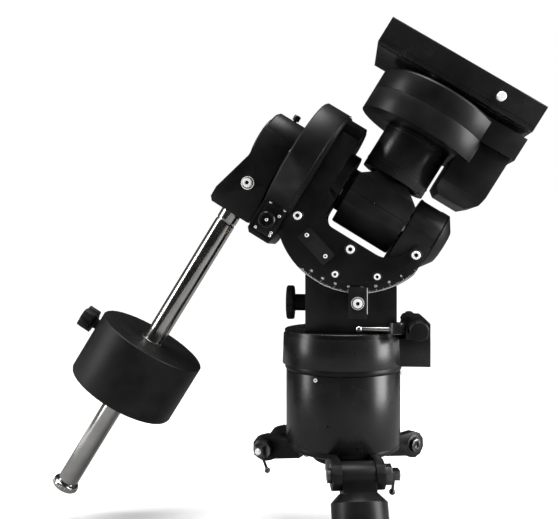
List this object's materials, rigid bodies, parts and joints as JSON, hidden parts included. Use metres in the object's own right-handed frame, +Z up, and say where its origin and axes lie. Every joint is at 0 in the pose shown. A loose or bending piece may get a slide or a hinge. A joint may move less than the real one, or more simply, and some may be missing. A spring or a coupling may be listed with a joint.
{
  "type": "equatorial telescope mount",
  "caption": "Equatorial telescope mount on a pier column and tripod hub, with a side-plate yoke, worm-driven axes, dovetail saddle and sliding counterweight.",
  "frame": {"origin": "centre of the tripod hub's flat underside, on the pier axis", "axes": "+Z up along the pier; the polar axis lies in the XZ plane and rises towards -X; the counterweight hangs on the -X side; +Y towards the far side of the saddle"},
  "size_m": [0.6421, 0.2718, 0.6562],
  "materials": {
    "black_casting": "black anodised and painted castings, satin",
    "black_iron": "black wrinkle paint",
    "black_plastic": "matte",
    "steel": "satin",
    "brass": "satin",
    "aluminium": "satin"
  },
  "bodies": {
    "base": {"tripod_hub": "black_casting", "pier_column": "black_casting", "pier_flange": "black_casting", "azimuth_peg": "steel"},
    "leg_front": {"leg_socket_front": "black_casting"},
    "leg_clamp_front": {"leg_bolt_front": "steel"},
    "leg_clamp_right": {"leg_bolt_right": "steel"},
    "leg_clamp_left": {"leg_bolt_left": "steel"},
    "azimuth_head": {"azimuth_ring": "black_casting", "azimuth_adjuster_housing": "black_casting", "latitude_pedestal": "black_casting", "latitude_pointer": "black_casting", "pointer_bolt": "steel"},
    "azimuth_lock": {"azimuth_lock_lever": "steel"},
    "azimuth_screw_near": {"azimuth_screw_near": "steel"},
    "azimuth_screw_far": {"azimuth_screw_far": "steel"},
    "azimuth_knob_near": {"azimuth_knob_near": "black_plastic"},
    "azimuth_knob_far": {"azimuth_knob_far": "black_plastic"},
    "latitude_drive": {"latitude_knob": "black_plastic", "latitude_worm": "brass"},
    "yoke": {"yoke_front_frame": "black_casting", "yoke_floor": "black_casting", "yoke_tail_arm": "black_casting", "side_plate_near": "black_casting", "side_plate_far": "black_casting", "latitude_gear": "brass", "tail_cap": "black_casting", "access_cover": "black_casting", "ra_gear_housing": "black_casting", "ra_worm_cover": "black_casting", "ra_bearing_front": "steel", "ra_bearing_tail": "steel", "ra_motor": "aluminium"},
    "ra_worm_shaft": {"ra_worm": "steel"},
    "ra_unit": {"ra_shaft": "steel", "ra_tail_shaft": "steel", "ra_worm_wheel": "brass", "counterweight_head": "black_casting", "head_clamp_bolt": "steel", "counterweight_bar": "steel", "bar_end_cap": "steel", "dec_block_upper": "black_casting", "dec_block_lower": "black_casting", "dec_neck": "black_casting", "dec_housing_lower": "black_casting", "dec_housing_upper": "black_casting", "dec_bearing": "steel", "dec_motor": "aluminium"},
    "polar_cap": {"polar_cap": "black_casting"},
    "head_screw": {"head_thumb_screw": "steel"},
    "sliding_weight": {"counterweight": "black_iron"},
    "weight_clamp": {"counterweight_knob": "black_plastic"},
    "dec_worm_shaft": {"dec_worm": "steel"},
    "dec_unit": {"dec_shaft": "steel", "dec_worm_wheel": "brass", "saddle_base": "black_casting", "saddle_fixed_jaw": "black_casting"},
    "saddle_clamp": {"saddle_moving_jaw": "black_casting"},
    "saddle_screw_1": {"saddle_knob_1": "black_plastic"},
    "saddle_screw_2": {"saddle_knob_2": "black_plastic"}
  },
  "joints": [
    {"name": "leg_front_spread", "type": "hinge", "parent": "base", "child": "leg_front", "pos_m": [0.01736, -0.09848, 0.009], "axis": [0.9848, 0.1736, 0], "range_deg": [-12, 14]},
    {"name": "leg_front_clamp", "type": "hinge", "parent": "base", "child": "leg_clamp_front", "pos_m": [0.01736, -0.09848, 0.009], "axis": [0.9848, 0.1736, 0], "range_deg": [-60, 60]},
    {"name": "leg_right_clamp", "type": "hinge", "parent": "base", "child": "leg_clamp_right", "pos_m": [0.0766, 0.06428, 0.009], "axis": [-0.6428, 0.766, 0], "range_deg": [-60, 60]},
    {"name": "leg_left_clamp", "type": "hinge", "parent": "base", "child": "leg_clamp_left", "pos_m": [-0.09397, 0.0342, 0.009], "axis": [-0.342, -0.9397, 0], "range_deg": [-60, 60]},
    {"name": "azimuth", "type": "hinge", "parent": "base", "child": "azimuth_head", "pos_m": [0, 0, 0.1266], "axis": [0, 0, 1], "range_deg": [-5, 5]},
    {"name": "azimuth_lock_turn", "type": "hinge", "parent": "azimuth_head", "child": "azimuth_lock", "pos_m": [0.066, -0.06, 0.171], "axis": [0, 0, 1], "range_deg": [0, 40]},
    {"name": "azimuth_screw_near_travel", "type": "slide", "parent": "azimuth_head", "child": "azimuth_screw_near", "axis": [0, 1, 0], "range_m": [-0.0085, 0.0085]},
    {"name": "azimuth_knob_near_turn", "type": "hinge", "parent": "azimuth_screw_near", "child": "azimuth_knob_near", "pos_m": [0.092, -0.062, 0.176], "axis": [0, 1, 0], "range_deg": [-2400, 2400]},
    {"name": "azimuth_screw_far_travel", "type": "slide", "parent": "azimuth_head", "child": "azimuth_screw_far", "axis": [0, 1, 0], "range_m": [-0.0085, 0.0085]},
    {"name": "azimuth_knob_far_turn", "type": "hinge", "parent": "azimuth_screw_far", "child": "azimuth_knob_far", "pos_m": [0.092, 0.062, 0.176], "axis": [0, 1, 0], "range_deg": [-2400, 2400]},
    {"name": "latitude", "type": "hinge", "parent": "azimuth_head", "child": "yoke", "pos_m": [0.02097, 0, 0.32483], "axis": [0, 1, 0], "range_deg": [-16, 19]},
    {"name": "latitude_knob_turn", "type": "hinge", "parent": "azimuth_head", "child": "latitude_drive", "pos_m": [-0.06, 0, 0.205], "axis": [1, 0, 0], "range_deg": [-3200, 3200]},
    {"name": "right_ascension", "type": "hinge", "parent": "yoke", "child": "ra_unit", "pos_m": [0.043, 0, 0.33], "axis": [0.8499, 0, -0.527], "range_deg": [-90, 90]},
    {"name": "ra_worm_turn", "type": "hinge", "parent": "yoke", "child": "ra_worm_shaft", "pos_m": [-0.08528, 0, 0.31952], "axis": [0, 1, 0], "range_deg": [-16200, 16200]},
    {"name": "polar_cap_turn", "type": "hinge", "parent": "ra_unit", "child": "polar_cap", "pos_m": [-0.10658, 0, 0.42274], "axis": [0.8499, 0, -0.527], "continuous": true},
    {"name": "head_screw_turn", "type": "hinge", "parent": "ra_unit", "child": "head_screw", "pos_m": [-0.06162, 0, 0.44782], "axis": [0.527, 0, 0.8499], "continuous": true},
    {"name": "counterweight_slide", "type": "slide", "parent": "ra_unit", "child": "sliding_weight", "axis": [0.527, 0, 0.8499], "range_m": [-0.135, 0.168]},
    {"name": "weight_clamp_turn", "type": "hinge", "parent": "sliding_weight", "child": "weight_clamp", "pos_m": [-0.33592, 0, 0.1743], "axis": [0.8499, 0, -0.527], "continuous": true},
    {"name": "declination", "type": "hinge", "parent": "ra_unit", "child": "dec_unit", "pos_m": [0.043, 0, 0.33], "axis": [0.527, 0, 0.8499], "continuous": true},
    {"name": "dec_worm_turn", "type": "hinge", "parent": "ra_unit", "child": "dec_worm_shaft", "pos_m": [0.16615, 0, 0.39484], "axis": [0, 1, 0], "continuous": true},
    {"name": "saddle_jaw_slide", "type": "slide", "parent": "dec_unit", "child": "saddle_clamp", "axis": [0, 1, 0], "range_m": [0, 0.006]},
    {"name": "saddle_screw_1_turn", "type": "hinge", "parent": "saddle_clamp", "child": "saddle_screw_1", "pos_m": [0.10379, 0.07, 0.52293], "axis": [0, 1, 0], "continuous": true},
    {"name": "saddle_screw_2_turn", "type": "hinge", "parent": "saddle_clamp", "child": "saddle_screw_2", "pos_m": [0.18878, 0.07, 0.47023], "axis": [0, 1, 0], "continuous": true}
  ],
  "couplings": [
    {"joint": "azimuth_screw_near_travel", "follows": "azimuth", "m_per_rad": -0.092},
    {"joint": "azimuth_screw_far_travel", "follows": "azimuth", "m_per_rad": -0.092},
    {"joint": "azimuth_knob_near_turn", "follows": "azimuth", "ratio": -462.4},
    {"joint": "azimuth_knob_far_turn", "follows": "azimuth", "ratio": -462.4},
    {"joint": "latitude_knob_turn", "follows": "latitude", "ratio": 120},
    {"joint": "ra_worm_turn", "follows": "right_ascension", "ratio": 180},
    {"joint": "dec_worm_turn", "follows": "declination", "ratio": 180}
  ]
}
